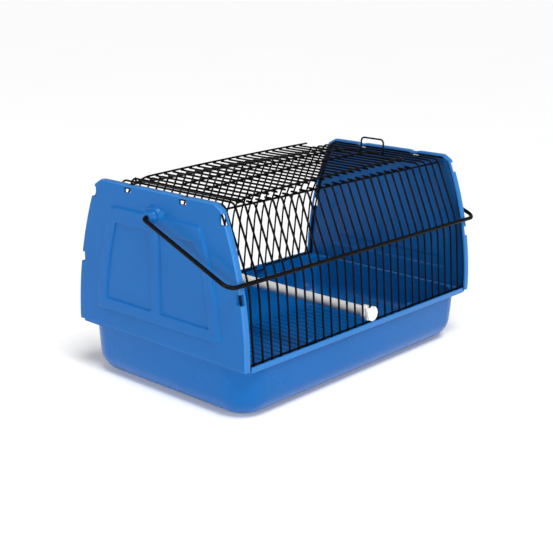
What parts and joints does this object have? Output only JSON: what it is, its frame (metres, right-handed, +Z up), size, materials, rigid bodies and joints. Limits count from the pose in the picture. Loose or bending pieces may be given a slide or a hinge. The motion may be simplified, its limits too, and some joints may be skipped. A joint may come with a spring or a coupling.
{
  "type": "small livestock transport crate",
  "caption": "Small carrier with a plastic tub, two moulded end panels, a wire grille, a lift-up wire door in the top, a perch and a swinging wire carry handle.",
  "frame": {"origin": "centre of the flat underside that the crate rests on", "axes": "+X along the length, from the door's hinge towards its pull loop; +Z up; the handle rests on the -Y side"},
  "size_m": [0.3268, 0.1902, 0.1779],
  "materials": {
    "tub_plastic": "satin gloss moulded plastic",
    "panel_plastic": "satin gloss moulded plastic",
    "wire_paint": "glossy black coating on steel wire",
    "handle_paint": "glossy black coating on steel wire",
    "perch_plastic": "pale satin plastic"
  },
  "bodies": {
    "crate": {"base_tub": "tub_plastic", "left_end_panel": "panel_plastic", "right_end_panel": "panel_plastic", "perch_rod": "perch_plastic", "perch_front_cap": "perch_plastic", "perch_back_cap": "perch_plastic", "left_end_hoop": "wire_paint", "right_end_hoop": "wire_paint", "left_hoop_wires": "wire_paint", "right_hoop_wires": "wire_paint", "front_wires": "wire_paint", "back_wires": "wire_paint", "front_top_rail": "wire_paint", "back_top_rail": "wire_paint", "front_bottom_rail": "wire_paint", "back_bottom_rail": "wire_paint"},
    "door": {"door_front_rail": "wire_paint", "door_back_rail": "wire_paint", "door_latch_wire": "wire_paint", "door_cross_wires": "wire_paint"},
    "handle": {"carry_handle": "handle_paint"}
  },
  "joints": [
    {"name": "door_hinge", "type": "hinge", "parent": "crate", "child": "door", "pos_m": [-0.11713, 0, 0.1636], "axis": [0, -1, 0], "range_deg": [0, 150]},
    {"name": "handle_pivot", "type": "hinge", "parent": "crate", "child": "handle", "pos_m": [0, 0, 0.1473], "axis": [-1, 0, 0], "range_deg": [0, 224]}
  ]
}
